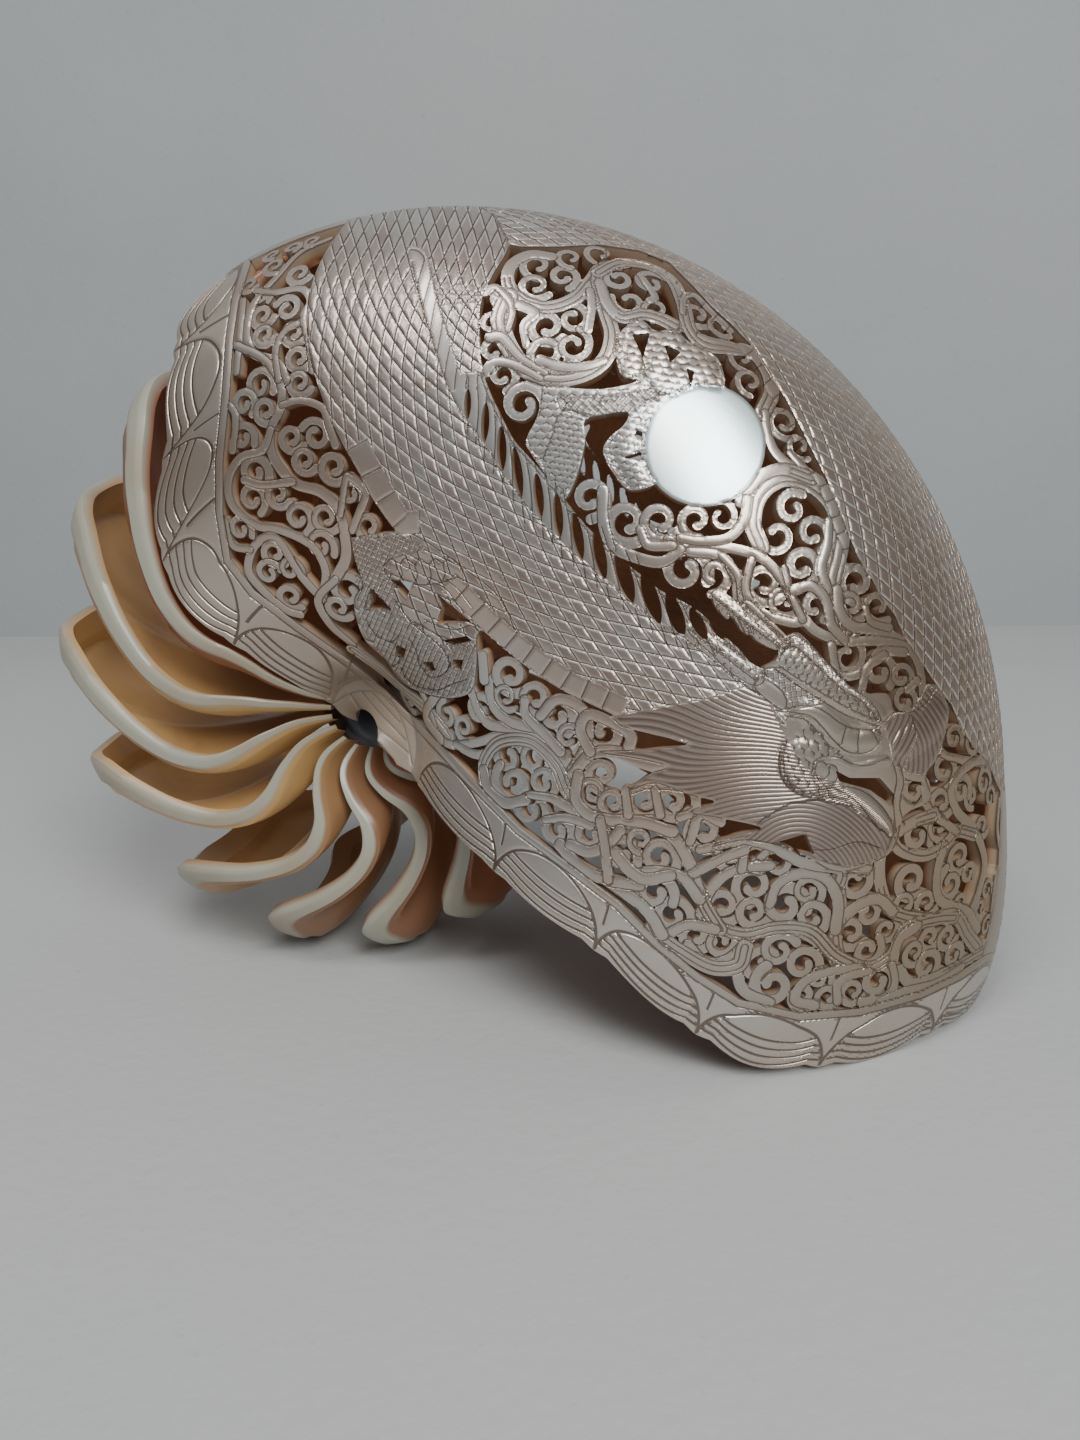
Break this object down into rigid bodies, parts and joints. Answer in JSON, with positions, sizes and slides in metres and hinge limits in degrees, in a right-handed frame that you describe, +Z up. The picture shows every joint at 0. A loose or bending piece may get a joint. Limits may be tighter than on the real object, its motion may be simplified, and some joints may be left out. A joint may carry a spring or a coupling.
{
  "type": "carved nautilus shell",
  "caption": "Polished nautilus shell, cut open so that its chamber walls stand as a fan beside a carved openwork body, resting on its mouth and one blade.",
  "frame": {"origin": "centre of the bounding box's base, on the surface that the shell rests on", "axes": "+Z up, +X towards the shell's mouth, away from the fan of chamber walls; the coil's axis is level and runs along Y"},
  "size_m": [0.1614, 0.089, 0.1246],
  "materials": {
    "nacre": "polished mother of pearl, pinkish grey, with a brown to golden inner face"
  },
  "bodies": {
    "root": {"nautilus_shell": "nacre"}
  },
  "joints": []
}
